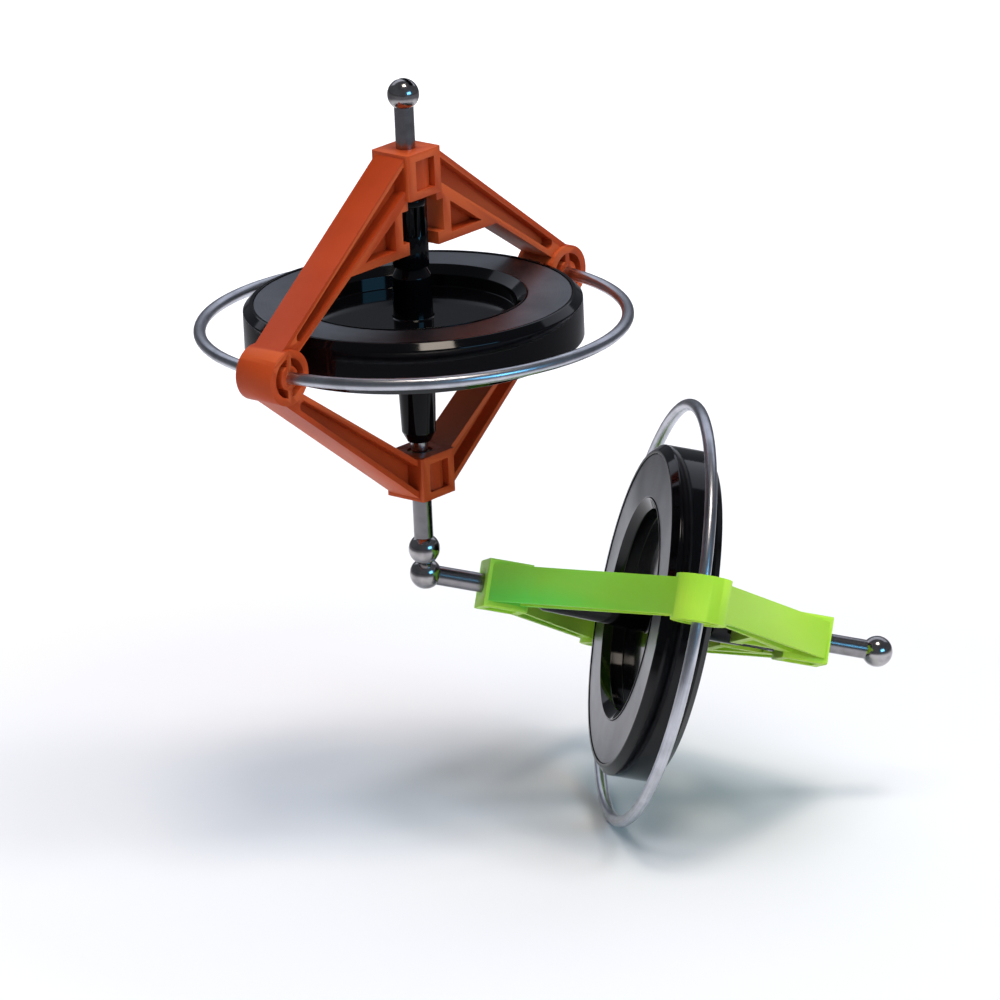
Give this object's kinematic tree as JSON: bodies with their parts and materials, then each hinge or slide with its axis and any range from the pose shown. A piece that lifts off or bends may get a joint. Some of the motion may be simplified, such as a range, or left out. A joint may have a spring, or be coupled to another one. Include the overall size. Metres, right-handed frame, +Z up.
{
  "type": "gyroscope on stand",
  "caption": "Two wire-ring gyroscopes, one upright on the ball end of the other, which stands on its ring as the stand; flywheels spin.",
  "frame": {"origin": "the point where the lower gyroscope's ring touches the table", "axes": "+Z up; +X to the right in the usual view, towards the lower gyroscope's gusset end; +Y away from the viewer"},
  "size_m": [0.1153, 0.0803, 0.1286],
  "materials": {
    "lower_frame_plastic": "moulded lime-green plastic, slightly translucent",
    "upper_frame_plastic": "moulded orange plastic, satin",
    "ring_wire": "drawn steel wire",
    "pins": "turned steel, plated",
    "balls": "polished plated steel",
    "bearing_bronze": "sintered bronze",
    "axle_steel": "ground steel",
    "black_moulding": "glossy black moulding",
    "weight_steel": "turned steel ring, matt",
    "black_pinion": "black moulded pinion"
  },
  "bodies": {
    "root": {"lower_frame": "lower_frame_plastic", "lower_ring": "ring_wire", "lower_top_pin": "pins", "lower_top_ball": "balls", "lower_foot_pin": "pins", "lower_top_bearing": "bearing_bronze", "lower_foot_bearing": "bearing_bronze", "lower_foot_ball": "balls"},
    "lower_wheel": {"lower_axle": "axle_steel", "lower_flywheel": "black_moulding", "lower_top_weight": "weight_steel", "lower_foot_weight": "weight_steel", "lower_pinion": "black_pinion"},
    "upper_swivel": {"upper_foot_ball": "balls"},
    "upper_gyroscope": {"upper_frame": "upper_frame_plastic", "upper_ring": "ring_wire", "upper_top_pin": "pins", "upper_top_ball": "balls", "upper_foot_pin": "pins", "upper_top_bearing": "bearing_bronze", "upper_foot_bearing": "bearing_bronze"},
    "upper_wheel": {"upper_axle": "axle_steel", "upper_flywheel": "black_moulding", "upper_top_weight": "weight_steel", "upper_foot_weight": "weight_steel", "upper_pinion": "black_pinion"}
  },
  "joints": [
    {"name": "lower_spin", "type": "hinge", "parent": "root", "child": "lower_wheel", "pos_m": [0.00757, 0.00098, 0.03516], "axis": [0.9678, 0.1257, -0.2181], "continuous": true},
    {"name": "upper_precession", "type": "hinge", "parent": "root", "child": "upper_swivel", "pos_m": [-0.03044, -0.00585, 0.04857], "axis": [0, 0, 1], "continuous": true},
    {"name": "upper_nod", "type": "hinge", "parent": "upper_swivel", "child": "upper_gyroscope", "pos_m": [-0.03044, -0.00585, 0.04857], "axis": [0, 1, 0], "range_deg": [-15, 15]},
    {"name": "upper_spin", "type": "hinge", "parent": "upper_gyroscope", "child": "upper_wheel", "pos_m": [-0.03207, -0.00585, 0.08764], "axis": [-0.0419, 0, 0.9991], "continuous": true}
  ]
}
